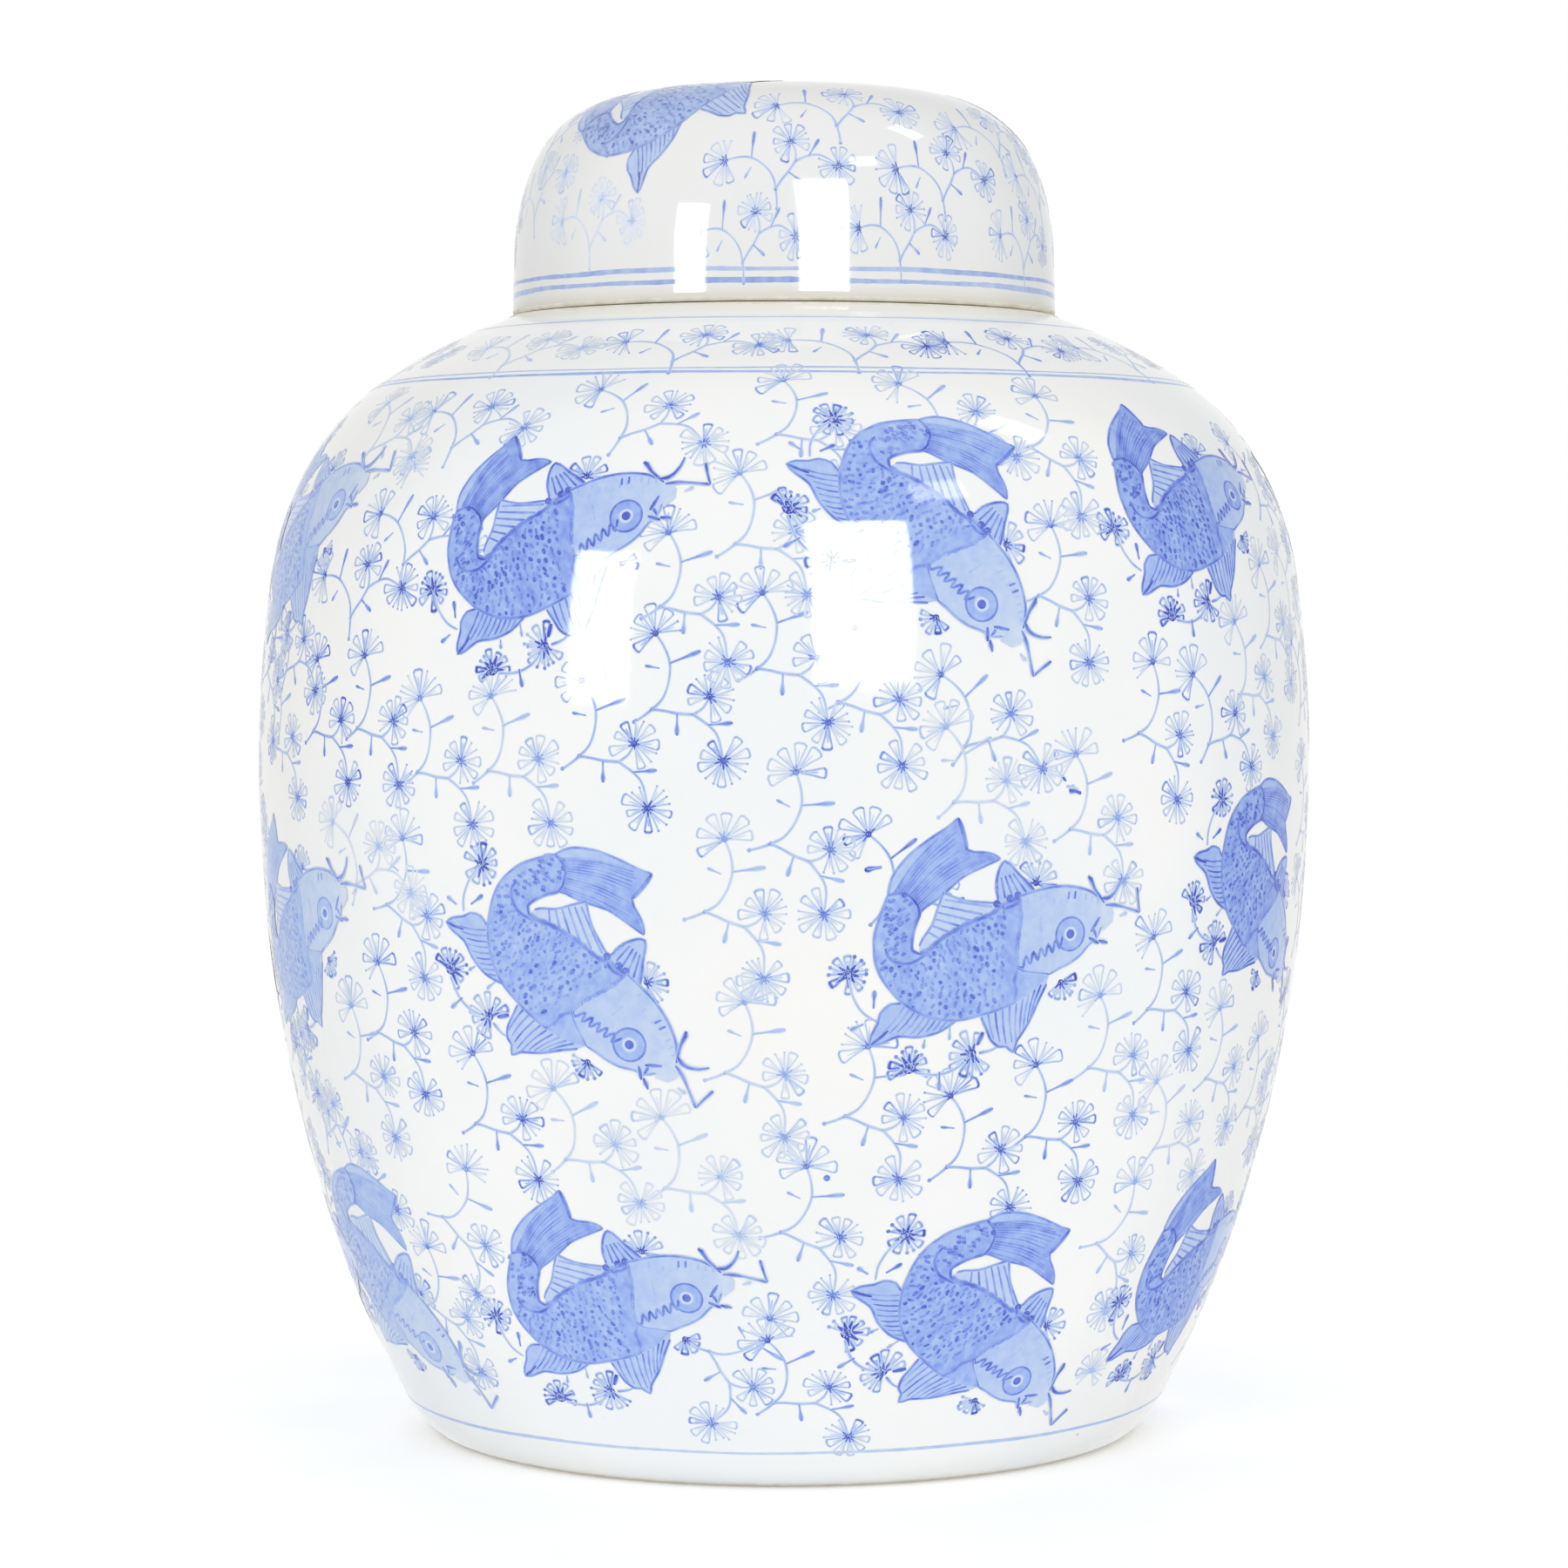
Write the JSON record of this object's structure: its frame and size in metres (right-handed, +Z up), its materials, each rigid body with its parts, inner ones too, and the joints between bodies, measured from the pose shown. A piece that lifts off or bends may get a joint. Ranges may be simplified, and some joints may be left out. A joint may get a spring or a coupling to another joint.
{
  "type": "ginger jar",
  "caption": "Covered porcelain ginger jar: full-shouldered body on a low foot ring, with a domed cap lid that fits over the neck and lifts off.",
  "frame": {"origin": "centre of the foot ring, on the surface the jar stands on", "axes": "+Z up along the jar's axis; -Y is the front, the side with a carp left of the middle and one right of it"},
  "size_m": [0.229, 0.229, 0.2909],
  "materials": {
    "jar_glaze": "clear gloss glaze over white porcelain painted in cobalt blue with carp and flowering sprigs",
    "lid_glaze": "clear gloss glaze over white porcelain painted in cobalt blue, with a bare cream rim"
  },
  "bodies": {
    "jar": {"jar_body": "jar_glaze"},
    "lid": {"lid": "lid_glaze"}
  },
  "joints": [
    {"name": "lid_lift", "type": "slide", "parent": "jar", "child": "lid", "axis": [0, 0, 1], "range_m": [0, 0.08]}
  ]
}
